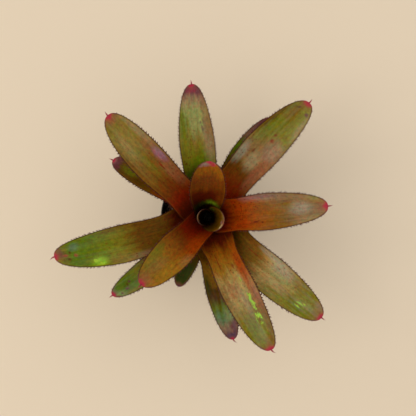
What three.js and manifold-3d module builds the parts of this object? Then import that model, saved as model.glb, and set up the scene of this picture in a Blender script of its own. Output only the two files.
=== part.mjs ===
// A neoregelia bromeliad in a round nursery pot. Millimetres, +Z up.
// The origin is the middle of the pot's underside, on the surface it stands on.
//
// The plant is a rosette. Every leaf clasps the next younger one with its sheath, like the scales of a
// bulb, then arches outwards as a strap. Each leaf is a patch of its own surface of revolution about the
// plant's axis, and the profiles of those surfaces nest without crossing, so no two leaves meet.
import * as THREE from 'three';
import { mergeVertices } from 'three/addons/utils/BufferGeometryUtils.js';
import Module from 'manifold-3d';

const wasm = await Module();
wasm.setup();

const { degToRad, lerp, mapLinear, smoothstep } = THREE.MathUtils;

// Pot: thin-walled, tapered, with a band round its rim and drain holes in a flat bottom
const potHeight = 90;
const rimRadius = 51;
const rimBandHeight = 9;
const rimBandStep = 2;
const rimEdgeBevel = 0.8;
const footRadius = 36;
const wallThickness = 1.2;
const drainHoleCount = 8;
const drainHoleRadius = 3.2;
const drainCircleRadius = 25;
const potSegments = 48;

// Potting mix
const mixTopHeight = 80;
const seatGap = 0.3;

// The plant's axis stands a little off the middle of the pot
const plantAxis = new THREE.Vector2(3.7, -2.4);

// Stem: a rootstock in the mix, a collar at its surface, and the cone that carries the leaves
const stemBottomHeight = 44;
const rootstockHeight = 35;
const collarRadius = 26.5;
const coneTipHeight = 100;
const coneSlope = 0.66;
const growingPointRadius = 2;
const stemSegments = 40;

// Leaf bases: each leaf stands one pitch further out on the cone than the next younger one
const firstBaseRadius = 5;
const basePitch = 1.35;
const leafThickness = 0.9;
const marginThickness = 0.45;

// How steeply a leaf leaves the cone, and how far it keeps to that before it arches over
const firstRise = 82.9;
const risePerLeaf = 1.1;
const firstShoulder = 54.5;
const shoulderPerLeaf = 1.5;
const archShare = 0.5;

// The two youngest leaves stand up as the walls of the central cup
const cupLeafCount = 2;
const cupShoulder = 30;
const cupArch = 12;

// Outline of a leaf, in shares of its length: the sheath narrows to a waist and widens to the blade
const sheathEnd = 0.08;
const waistAt = 0.34;
const bladeAt = 0.62;
const waistShare = 0.9;
const tipRoundness = 0.42;
const tipHalfWidth = 0.5;
const tipPointLength = 3;
const widestWrap = degToRad(140);

// The margins rise above the midrib along the blade and level out again towards the tip
const gutterShare = 0.11;
const gutterStart = 0.3;
const gutterFull = 0.6;
const gutterFade = 0.7;

// Mesh of a leaf. Rows crowd towards its rounded end.
const rowSpacing = 10;
const rowCrowding = 1.25;
const wrappingLeafCount = 4;
const wrappingColumns = 14;
const strapColumns = 10;

// The leaves, youngest first. Most stand about 137.5 degrees round the axis from the one before.
// azimuth: of the base, in degrees, counter-clockwise seen from above. sweep: turn from base to tip.
// reach: of the tip, from the axis. height: of the tip, above the ground. tipPitch: its slope, in degrees.
// width: of the blade, and sheath: of the clasping base, laid flat. taper: length of the rounded end.
const leaves = [
  { azimuth: 176, sweep: 0, reach: 10.8, height: 152, width: 34, sheath: 24, tipPitch: 82, taper: 20 },
  { azimuth: -18, sweep: 0, reach: 19.2, height: 160, width: 42, sheath: 34, tipPitch: 60, taper: 26 },
  { azimuth: 91.5, sweep: -4, reach: 60, height: 190, width: 42, sheath: 46, tipPitch: 34, taper: 40 },
  { azimuth: 227.5, sweep: -2.2, reach: 100, height: 182, width: 42, sheath: 50, tipPitch: 22, taper: 62 },
  { azimuth: 6.2, sweep: -0.6, reach: 130.8, height: 174, width: 43.5, sheath: 52, tipPitch: 16, taper: 92 },
  { azimuth: 138.5, sweep: -4.3, reach: 154.6, height: 168, width: 41, sheath: 54, tipPitch: 10, taper: 66 },
  { azimuth: -69.5, sweep: 5.4, reach: 160.8, height: 160, width: 40.5, sheath: 56, tipPitch: 6, taper: 84 },
  { azimuth: 55.1, sweep: -6.8, reach: 169.7, height: 153, width: 44, sheath: 58, tipPitch: 4, taper: 80 },
  { azimuth: 201.4, sweep: -7, reach: 175.7, height: 145, width: 44, sheath: 58, tipPitch: 0, taper: 92 },
  { azimuth: -43.8, sweep: 2.6, reach: 170.9, height: 138, width: 44, sheath: 58, tipPitch: -4, taper: 84 },
  { azimuth: 98.8, sweep: -2.1, reach: 151.7, height: 133, width: 43, sheath: 58, tipPitch: -4, taper: 100 },
  { azimuth: 225.5, sweep: -6, reach: 140.3, height: 122, width: 31, sheath: 56, tipPitch: -8, taper: 78 },
  { azimuth: 142.5, sweep: 6.2, reach: 126.6, height: 118, width: 30, sheath: 54, tipPitch: -8, taper: 50 },
  { azimuth: -82.8, sweep: 4.8, reach: 144.6, height: 112, width: 34, sheath: 54, tipPitch: -10, taper: 88 },
  { azimuth: 57.6, sweep: -1.6, reach: 138.2, height: 108, width: 40, sheath: 54, tipPitch: -10, taper: 72 },
  { azimuth: 245.2, sweep: 2, reach: 88.2, height: 100, width: 26, sheath: 48, tipPitch: -8, taper: 50 },
];

const colours = {
  plastic: 0x17181a,
  mix: 0x2b211a,
  stem: 0x8a8a4c,
  youngLeaf: 0x8f4a1c,
  oldLeaf: 0x5f6a22,
};

function solidFrom(geometry) {
  const bare = geometry.clone();
  bare.deleteAttribute('normal');
  bare.deleteAttribute('uv');
  const merged = mergeVertices(bare, 1e-3);
  return new wasm.Manifold(new wasm.Mesh({
    numProp: 3,
    vertProperties: merged.attributes.position.array,
    triVerts: new Uint32Array(merged.index.array),
  }));
}

function geometryFrom(solid) {
  const mesh = solid.getMesh();
  const geometry = new THREE.BufferGeometry();
  geometry.setAttribute('position', new THREE.BufferAttribute(new Float32Array(mesh.vertProperties), 3));
  geometry.setIndex(new THREE.BufferAttribute(new Uint32Array(mesh.triVerts), 1));
  geometry.computeVertexNormals();
  return geometry;
}

// A solid of revolution about Z. The profile's [radius, height] pairs run from the bottom up and outside in.
function turned(profile, segments) {
  const points = profile.map(([radius, height]) => new THREE.Vector2(radius, height));
  return new THREE.LatheGeometry(points, segments).rotateX(Math.PI / 2);
}

function namedMesh(name, geometry, color, roughness) {
  const mesh = new THREE.Mesh(geometry, new THREE.MeshStandardMaterial({ color, roughness, metalness: 0 }));
  mesh.name = name;
  return mesh;
}

// Making the pot

const bandBottom = potHeight - rimBandHeight;
const wallTopRadius = rimRadius - rimBandStep;

// Outer radius of the tapered wall, below the rim band.
function wallRadius(height) {
  return mapLinear(height, 0, bandBottom, footRadius, wallTopRadius);
}

function makePot() {
  const halfBevel = rimEdgeBevel / 2;
  const innerRimRadius = rimRadius - wallThickness - halfBevel;
  const body = solidFrom(turned([
    [0, 0],
    [footRadius, 0],
    [wallTopRadius, bandBottom],
    [rimRadius - halfBevel, bandBottom],
    [rimRadius, bandBottom + rimEdgeBevel],
    [rimRadius, potHeight - rimEdgeBevel],
    [rimRadius - halfBevel, potHeight],
    [innerRimRadius + halfBevel, potHeight],
    [innerRimRadius, potHeight - rimEdgeBevel],
    [innerRimRadius, bandBottom + wallThickness],
    [wallTopRadius - wallThickness, bandBottom - wallThickness / 2],
    [wallRadius(wallThickness) - wallThickness, wallThickness],
    [0, wallThickness],
  ], potSegments));
  const drilled = Array.from({ length: drainHoleCount }, (_, i) => (i / drainHoleCount) * Math.PI * 2)
    .map((angle) => solidFrom(new THREE.CylinderGeometry(drainHoleRadius, drainHoleRadius, footRadius / 2, 16)
      .rotateX(Math.PI / 2)
      .translate(drainCircleRadius * Math.cos(angle), drainCircleRadius * Math.sin(angle), 0)))
    .reduce((pot, drill) => pot.subtract(drill), body);
  return namedMesh('pot', geometryFrom(drilled), colours.plastic, 0.5);
}

// Making the stem and the potting mix

// Height of the cone's surface at a radius.
function coneHeight(radius) {
  return coneTipHeight - coneSlope * radius;
}

function stemGeometry(clearance) {
  return turned([
    [0, stemBottomHeight - clearance],
    [0.2 * collarRadius + clearance, stemBottomHeight + 1.5 - clearance],
    [0.35 * collarRadius + clearance, stemBottomHeight + 0.25 * rootstockHeight],
    [0.6 * collarRadius + clearance, stemBottomHeight + 0.6 * rootstockHeight],
    [0.85 * collarRadius + clearance, stemBottomHeight + 0.88 * rootstockHeight],
    [collarRadius + clearance, stemBottomHeight + rootstockHeight],
    [collarRadius + clearance, coneHeight(collarRadius)],
    [growingPointRadius, coneHeight(growingPointRadius) + clearance],
    [0, coneHeight(growingPointRadius) + growingPointRadius / 3 + clearance],
  ], stemSegments).translate(plantAxis.x, plantAxis.y, 0);
}

function makeStem() {
  return namedMesh('stem', stemGeometry(0), colours.stem, 0.7);
}

function makePottingMix() {
  const bottom = wallThickness + seatGap;
  const sideRadius = (height) => wallRadius(height) - wallThickness - 1.5 * seatGap;
  const filling = solidFrom(turned([
    [0, bottom],
    [sideRadius(bottom), bottom],
    [sideRadius(mixTopHeight), mixTopHeight],
    [0, mixTopHeight],
  ], potSegments));
  const pocketed = filling.subtract(solidFrom(stemGeometry(seatGap)));
  return namedMesh('potting_mix', geometryFrom(pocketed), colours.mix, 0.95);
}

// Making the leaves

// The profile of a leaf's surface of revolution, from its base to its tip, as radius and height.
function leafProfile(leaf, order) {
  const inCup = order < cupLeafCount;
  const radius = firstBaseRadius + basePitch * order;
  const baseHeight = coneHeight(radius - leafThickness / 2) + 1.5 * seatGap;
  const rise = degToRad(firstRise - risePerLeaf * order);
  const shoulder = inCup ? cupShoulder : firstShoulder - shoulderPerLeaf * order;
  const pitch = degToRad(leaf.tipPitch);
  const arch = inCup ? cupArch : archShare * (leaf.reach - radius);
  return new THREE.CubicBezierCurve(
    new THREE.Vector2(radius, baseHeight),
    new THREE.Vector2(radius + shoulder * Math.cos(rise), baseHeight + shoulder * Math.sin(rise)),
    new THREE.Vector2(leaf.reach - arch * Math.cos(pitch), leaf.height - arch * Math.sin(pitch)),
    new THREE.Vector2(leaf.reach, leaf.height),
  );
}

// Half the width of a leaf laid flat, at a share of its length.
function halfWidth(leaf, share, length) {
  const waist = waistShare * leaf.width;
  const narrowed = lerp(leaf.sheath, waist, smoothstep(share, sheathEnd, waistAt));
  const strap = narrowed + (leaf.width - waist) * smoothstep(share, waistAt, bladeAt);
  const toTip = Math.min(1, ((1 - share) * length) / leaf.taper);
  const rounding = Math.pow(1 - Math.pow(1 - toTip, 2), tipRoundness);
  return Math.max(tipHalfWidth, (strap / 2) * rounding);
}

// How far the margins stand above the midrib, which makes the blade a shallow gutter.
function gutterDepth(leaf, share) {
  const fading = 1 - gutterFade * share * share;
  return gutterShare * leaf.width * smoothstep(share, gutterStart, gutterFull) * fading;
}

// The two sides of a leaf at one share of its length, as rows of points across it.
function leafSection(leaf, profile, share, half, past, columns) {
  const point = profile.getPointAt(share);
  const along = profile.getTangentAt(share);
  const wrap = widestWrap * point.x;
  const clasp = Math.pow(Math.pow(half, -4) + Math.pow(wrap, -4), -0.25);
  const heading = degToRad(leaf.azimuth + leaf.sweep * share);
  const rise = gutterDepth(leaf, share) * Math.min(1, (2 * half) / leaf.width);
  const sideRow = (side) => Array.from({ length: columns + 1 }, (_, j) => {
    const across = (2 * j) / columns - 1;
    const offset = (side * lerp(leafThickness, marginThickness, across * across)) / 2;
    const angle = heading + (across * clasp) / point.x;
    const radius = point.x + past * along.x - offset * along.y;
    return new THREE.Vector3(
      plantAxis.x + radius * Math.cos(angle),
      plantAxis.y + radius * Math.sin(angle),
      point.y + past * along.y + offset * along.x + rise * across * across,
    );
  });
  return { upper: sideRow(1), lower: sideRow(-1) };
}

// Closes the facing rows of points into one thin solid.
function shellBetween(sections) {
  const rows = sections.length;
  const columns = sections[0].upper.length;
  const points = [...sections.flatMap((s) => s.upper), ...sections.flatMap((s) => s.lower)];
  const top = (i, j) => i * columns + j;
  const under = (i, j) => (rows + i) * columns + j;
  const index = [];
  const quad = (a, b, c, d) => index.push(a, b, c, a, c, d);
  for (let i = 0; i + 1 < rows; i++) {
    for (let j = 0; j + 1 < columns; j++) {
      quad(top(i, j), top(i + 1, j), top(i + 1, j + 1), top(i, j + 1));
      quad(under(i, j), under(i, j + 1), under(i + 1, j + 1), under(i + 1, j));
    }
    quad(top(i, 0), under(i, 0), under(i + 1, 0), top(i + 1, 0));
    quad(top(i, columns - 1), top(i + 1, columns - 1), under(i + 1, columns - 1), under(i, columns - 1));
  }
  for (let j = 0; j + 1 < columns; j++) {
    quad(top(0, j), top(0, j + 1), under(0, j + 1), under(0, j));
    quad(top(rows - 1, j), under(rows - 1, j), under(rows - 1, j + 1), top(rows - 1, j + 1));
  }
  const geometry = new THREE.BufferGeometry().setFromPoints(points);
  geometry.setIndex(index);
  geometry.computeVertexNormals();
  return geometry;
}

function makeLeaf(leaf, order) {
  const profile = leafProfile(leaf, order);
  const length = profile.getLength();
  const rows = Math.round(length / rowSpacing);
  const columns = order < wrappingLeafCount ? wrappingColumns : strapColumns;
  const sections = Array.from({ length: rows + 1 }, (_, i) => {
    const share = 1 - Math.pow(1 - i / rows, rowCrowding);
    return leafSection(leaf, profile, share, halfWidth(leaf, share, length), 0, columns);
  });
  sections.push(leafSection(leaf, profile, 1, tipHalfWidth / 2, tipPointLength, columns));
  const age = order / (leaves.length - 1);
  const colour = new THREE.Color(colours.youngLeaf).lerp(new THREE.Color(colours.oldLeaf), age);
  const name = `leaf_${String(order + 1).padStart(2, '0')}`;
  return namedMesh(name, shellBetween(sections), colour, 0.45);
}

const bromeliad = new THREE.Group();
bromeliad.name = 'neoregelia_bromeliad';
bromeliad.add(makePot(), makePottingMix(), makeStem(), ...leaves.map(makeLeaf));

export default bromeliad;
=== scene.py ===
# Potted neoregelia: a rosette of strap leaves round a water cup, in a round black nursery pot.
# Metres, +Z up, origin under the middle of the pot.
import math

import bmesh
import bpy
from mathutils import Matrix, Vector


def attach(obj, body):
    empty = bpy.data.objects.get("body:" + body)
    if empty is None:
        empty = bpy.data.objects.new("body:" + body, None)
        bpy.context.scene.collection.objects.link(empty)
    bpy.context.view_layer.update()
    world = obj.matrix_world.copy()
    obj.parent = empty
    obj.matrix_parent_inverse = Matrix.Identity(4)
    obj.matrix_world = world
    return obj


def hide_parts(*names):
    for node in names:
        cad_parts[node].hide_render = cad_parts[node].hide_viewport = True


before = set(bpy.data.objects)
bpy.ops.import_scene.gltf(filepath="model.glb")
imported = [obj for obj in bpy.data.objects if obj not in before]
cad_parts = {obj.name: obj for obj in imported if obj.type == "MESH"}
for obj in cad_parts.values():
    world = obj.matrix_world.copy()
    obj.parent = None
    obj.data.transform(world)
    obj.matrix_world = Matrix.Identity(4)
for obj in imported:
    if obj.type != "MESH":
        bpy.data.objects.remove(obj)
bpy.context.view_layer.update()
scene = bpy.context.scene
mm = 0.001
metre = 1000.0  # in millimetres


# Node helpers: short names for laying nodes and doing sums with them

class Wire:
    # one value in a node tree; a sum with it lays the maths node
    def __init__(self, bench, socket):
        self.bench = bench
        self.socket = socket


def signMethod(operation, turned):
    # what a sign between two values does; turned when the wire stands on its right
    def lay(self, other):
        sides = (other, self) if turned else (self, other)
        return self.bench.maths(operation, *sides)
    return lay


signs = {"add": "ADD", "sub": "SUBTRACT", "mul": "MULTIPLY", "truediv": "DIVIDE", "pow": "POWER"}
for sign, operation in signs.items():
    setattr(Wire, "__" + sign + "__", signMethod(operation, False))
    setattr(Wire, "__r" + sign + "__", signMethod(operation, True))


class Bench:
    # lays nodes into one tree, geometry or shader
    def __init__(self, nodeTree):
        self.nodeTree = nodeTree

    def feed(self, socket, value):
        if isinstance(value, Wire):
            self.nodeTree.links.new(value.socket, socket)
        elif value is not None:
            socket.default_value = value

    def node(self, kind, inputs=None, **settings):
        made = self.nodeTree.nodes.new(kind)
        for name, value in settings.items():
            setattr(made, name, value)
        for key, value in (inputs or {}).items():
            self.feed(made.inputs[key], value)
        return made

    def wire(self, kind, inputs=None, output=0, **settings):
        return Wire(self, self.node(kind, inputs, **settings).outputs[output])

    def maths(self, operation, a, b=None, c=None):
        return self.wire("ShaderNodeMath", {0: a, 1: b, 2: c}, operation=operation)

    def least(self, a, b):
        return self.maths("MINIMUM", a, b)

    def most(self, a, b):
        return self.maths("MAXIMUM", a, b)

    def rise(self, value, low, high):
        # 0 below low, 1 above high, smooth between; low may be the larger
        sockets = {"Value": value, "From Min": low, "From Max": high}
        return self.wire("ShaderNodeMapRange", sockets, interpolation_type="SMOOTHSTEP")

    def blend(self, a, b, share):
        return a + (b - a) * share if isinstance(a, Wire) else self.maths("MULTIPLY_ADD", share, b - a, a)

    def vector(self, x, y, z):
        return self.wire("ShaderNodeCombineXYZ", {0: x, 1: y, 2: z})

    def parts(self, vector):
        made = self.node("ShaderNodeSeparateXYZ", {0: vector})
        return [Wire(self, out) for out in made.outputs]

    def vectorMaths(self, operation, a, b=None):
        return self.wire("ShaderNodeVectorMath", {0: a, 1: b}, operation=operation)

    def scaled(self, vector, by):
        return self.wire("ShaderNodeVectorMath", {0: vector, "Scale": by}, operation="SCALE")

    def heading(self, start, end):
        # the unit vector from one place to another
        return self.vectorMaths("NORMALIZE", self.vectorMaths("SUBTRACT", end, start))

    def distance(self, x, y):
        return self.maths("SQRT", x * x + y * y)

    def mixColour(self, a, b, share, how="MIX"):
        sockets = {0: share, 6: a, 7: b}
        return self.wire("ShaderNodeMix", sockets, 2, data_type="RGBA", blend_type=how)

    def noise(self, vector, detail=2.0, roughness=0.5):
        sockets = {"Vector": vector, "Scale": 1.0, "Detail": detail, "Roughness": roughness}
        return self.wire("ShaderNodeTexNoise", sockets)

    def grain(self, at, scale, detail=2.0, roughness=0.5):
        # noise round a place; scale is one number, or one for each axis
        scales = scale if isinstance(scale, tuple) else (scale, scale, scale)
        return self.noise(self.vectorMaths("MULTIPLY", at, scales), detail, roughness)

    def objectPlace(self):
        return self.wire("ShaderNodeTexCoord", output="Object")

    def position(self):
        return self.wire("GeometryNodeInputPosition")

    def random(self, low, high, seed):
        return self.wire("FunctionNodeRandomValue", {2: low, 3: high, "Seed": seed}, 1)

    def moved(self, geometry, offset):
        return self.wire("GeometryNodeSetPosition", {"Geometry": geometry, "Offset": offset})

    def movedTo(self, geometry, position):
        return self.wire("GeometryNodeSetPosition", {"Geometry": geometry, "Position": position})

    def cut(self, body, cutter):
        sockets = {"Mesh 1": body, "Mesh 2": cutter}
        return self.wire("GeometryNodeMeshBoolean", sockets, operation="DIFFERENCE")

    def scatter(self, points, instance, rotation=None, scale=None):
        sockets = {"Points": points, "Instance": instance, "Rotation": rotation, "Scale": scale}
        return self.wire("GeometryNodeInstanceOnPoints", sockets)

    def join(self, *parts):
        both = self.node("GeometryNodeJoinGeometry")
        for part in parts:
            self.feed(both.inputs["Geometry"], part)
        return Wire(self, both.outputs[0])

    def ramp(self, share, stops):
        made = self.node("ShaderNodeValToRGB", {0: share})
        made.color_ramp.interpolation = "LINEAR"
        elements = made.color_ramp.elements
        while len(elements) < len(stops):
            elements.new(0.5)
        for element, (at, colour) in zip(elements, stops):
            element.position = at
            element.color = colour
        return Wire(self, made.outputs[0])


def geometryTree(name, sockets):
    # a geometry tree with the named inputs, and the bench that lays nodes into it
    tree = bpy.data.node_groups.new(name, "GeometryNodeTree")
    for socketName, kind in sockets.items():
        tree.interface.new_socket(name=socketName, in_out="INPUT", socket_type="NodeSocket" + kind)
    bench = Bench(tree)
    entry = tree.nodes.new("NodeGroupInput")
    wires = {out.name: Wire(bench, out) for out in entry.outputs if out.name}
    return tree, bench, wires


def treeOutputs(tree, bench, wires):
    # wires: output name -> (kind, wire)
    for socketName, (kind, wire) in wires.items():
        tree.interface.new_socket(name=socketName, in_out="OUTPUT", socket_type="NodeSocket" + kind)
    leaving = tree.nodes.new("NodeGroupOutput")
    for socketName, (kind, wire) in wires.items():
        bench.feed(leaving.inputs[socketName], wire)


def clad(bench, geometry, material):
    realized = bench.wire("GeometryNodeRealizeInstances", {"Geometry": geometry})
    return bench.wire("GeometryNodeSetMaterial", {"Geometry": realized, "Material": material})


laidTrees = {}


def grow(name, layTree, values, mesh=None):
    # lays a geometry tree with these inputs once, runs it and keeps its result as a plain mesh
    if layTree not in laidTrees:
        kinds = {"Geometry": "Geometry"} if mesh else {}
        kinds.update({key: type(value).__name__.title() for key, value in values.items()})
        tree, bench, size = geometryTree(layTree.__name__, kinds)
        treeOutputs(tree, bench, {"Geometry": ("Geometry", layTree(bench, size))})
        laidTrees[layTree] = tree
    tree = laidTrees[layTree]
    holder = bpy.data.objects.new(name, mesh or bpy.data.meshes.new(name))
    scene.collection.objects.link(holder)
    modifier = holder.modifiers.new("grow", "NODES")
    modifier.node_group = tree
    for item in tree.interface.items_tree:
        if item.item_type == "SOCKET" and item.in_out == "INPUT" and item.name in values:
            modifier[item.identifier] = values[item.name]
    depsgraph = bpy.context.evaluated_depsgraph_get()
    grown = bpy.data.meshes.new_from_object(
        holder.evaluated_get(depsgraph), preserve_all_data_layers=True, depsgraph=depsgraph)
    holder.modifiers.remove(modifier)
    holder.data = grown
    grown.name = name
    return holder


def place(piece, nodes):
    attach(piece, "root")
    if nodes:
        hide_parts(*nodes)


def shaded(hexText):
    # "4a1204" as a linear colour
    channels = [int(hexText[i:i + 2], 16) / 255 for i in (0, 2, 4)]
    linear = [c / 12.92 if c <= 0.04045 else ((c + 0.055) / 1.055) ** 2.4 for c in channels]
    return (*linear, 1.0)


def newMaterial(name):
    material = bpy.data.materials.new(name)
    material.use_nodes = True
    tree = material.node_tree
    shader = next(node for node in tree.nodes if node.type == "BSDF_PRINCIPLED")
    return material, Bench(tree), shader


def finishSurface(bench, shader, colour, roughness, gloss=0.5, relief=None, strength=0.6, depth=0.7):
    # relief: the height that the bump follows, this strong and this many millimetres deep
    bench.feed(shader.inputs["Base Color"], colour)
    bench.feed(shader.inputs["Roughness"], roughness)
    shader.inputs["Specular IOR Level"].default_value = gloss
    if relief is not None:
        sockets = {"Height": relief, "Strength": strength, "Distance": depth * mm}
        bench.feed(shader.inputs["Normal"], bench.wire("ShaderNodeBump", sockets))


# Camera, light and floor

studio = {
    "cameraAt": (4.75, 8.3, 980),      # straight above the cup, looking down
    "focal": 64.9,
    "floorColour": "e2cfb4",
    "floorReach": 4.0,
    "worldColour": "f4f3f1",
    "worldStrength": 0.86,
    "look": "Medium Contrast",
    "keyAt": (-1.7, -0.2, 2.0),        # big soft window on the left
    "keySize": 1.8,
    "keyPower": 19,
    "fillAt": (0.9, 0.6, 1.3),
    "fillSize": 1.4,
    "fillPower": 3,
    "target": (0.0, 0.0, 0.13),
}


def makeCamera():
    data = bpy.data.cameras.new("camera")
    data.sensor_width = 36
    data.lens = studio["focal"]
    data.clip_start = 0.01
    camera = bpy.data.objects.new("camera", data)
    camera.location = Vector(studio["cameraAt"]) * mm
    scene.collection.objects.link(camera)
    scene.camera = camera


def makeLight(name, at, size, power, colour):
    data = bpy.data.lights.new(name, "AREA")
    data.size = size
    data.energy = power
    data.color = shaded(colour)[:3]
    light = bpy.data.objects.new(name, data)
    light.location = at
    light.rotation_euler = (Vector(studio["target"]) - Vector(at)).to_track_quat("-Z", "Y").to_euler()
    scene.collection.objects.link(light)


def makeWorld():
    world = bpy.data.worlds.new("studio")
    world.use_nodes = True
    background = next(node for node in world.node_tree.nodes if node.type == "BACKGROUND")
    background.inputs["Color"].default_value = shaded(studio["worldColour"])
    background.inputs["Strength"].default_value = studio["worldStrength"]
    scene.world = world
    scene.view_settings.view_transform = "Standard"
    scene.view_settings.look = studio["look"]


def floorMaterial():
    material, bench, shader = newMaterial("paleFloor")
    pale = shaded(studio["floorColour"])
    cloud = bench.grain(bench.objectPlace(), 3.0, 3.0)
    finishSurface(bench, shader, bench.mixColour(pale, [c * 0.97 for c in pale], cloud), 0.85)
    return material


def makeFloor():
    mesh = bpy.data.meshes.new("floor")
    reach = studio["floorReach"]
    corners = [(-reach, -reach, 0), (reach, -reach, 0), (reach, reach, 0), (-reach, reach, 0)]
    mesh.from_pydata(corners, [], [(0, 1, 2, 3)])
    mesh.materials.append(floorMaterial())
    floor = bpy.data.objects.new("floor", mesh)
    scene.collection.objects.link(floor)


makeCamera()
makeWorld()
makeLight("keyWindow", studio["keyAt"], studio["keySize"], studio["keyPower"], "fffaf4")
makeLight("fill", studio["fillAt"], studio["fillSize"], studio["fillPower"], "f2f6ff")
makeFloor()
print("studio ready")


# Leaves
# Each leaf is a patch of a surface turned about the plant's axis. Its profile leaves the cone steeply,
# arches over and ends at its reach and height. Lengths are in millimetres and angles in degrees.

plant = {
    "axis": (3.7, -2.4),
    "coneTipHeight": 100,
    "coneSlope": 0.66,
    "collarRadius": 26.5,
}

leafRule = {
    "thickness": 0.9,
    "marginThickness": 0.45,
    "firstBaseRadius": 5,
    "basePitch": 1.35,
    "baseGap": 0.45,
    "firstRise": 82.9,
    "risePerLeaf": 1.1,
    "firstShoulder": 54.5,
    "shoulderPerLeaf": 1.5,
    "archShare": 0.5,
    "cupLeaves": ("leaf_01", "leaf_02"),
    "cupShoulder": 30,
    "cupArch": 12,
    "sheathEnd": 0.08,
    "waistAt": 0.34,
    "bladeAt": 0.62,
    "waistShare": 0.9,
    "tipRoundness": 0.42,
    "tipHalfWidth": 0.5,
    "widestWrap": 140,
    "gutterShare": 0.11,
    "gutterStart": 0.3,
    "gutterFull": 0.6,
    "gutterFade": 0.7,
    "ripple": 1.3,           # waves of the margins
    "rows": 110,
    "columns": 31,
}

# Colours of the foliage; silver, frost, sage, drab, taupe, lilac and mauve also serve as painted sheen in the
# washes
foliage = {
    # night: painted shade, the near black of the leaf bases deep in the cup
    "cupShade": "1c0401", "peat": "2e1a04", "mahogany": "4a1403", "wine": "500e02", "garnet": "701a02",
    "rust": "8c3402", "umber": "643004", "walnut": "5c3a04", "bark": "503402", "bronze": "6e4c10",
    "amber": "7c4604", "honey": "805a14", "ochre": "786420", "olive": "6e6814", "moss": "5c6a06",
    "fern": "4c6208", "forest": "243204", "sage": "82844c", "sea": "56744e", "tan": "7c5c34",
    "drab": "8c7858", "straw": "98804e", "taupe": "846a50", "clay": "844c34", "lilac": "845a5c",
    "mauve": "86566a", "silverSheen": "948c7c", "frostSheen": "8e9488", "lime": "8cb82c", "plum": "5a2c38",
    "violet": "4a3050", "pink": "a4203c", "cream": "bca47c",
}
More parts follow.
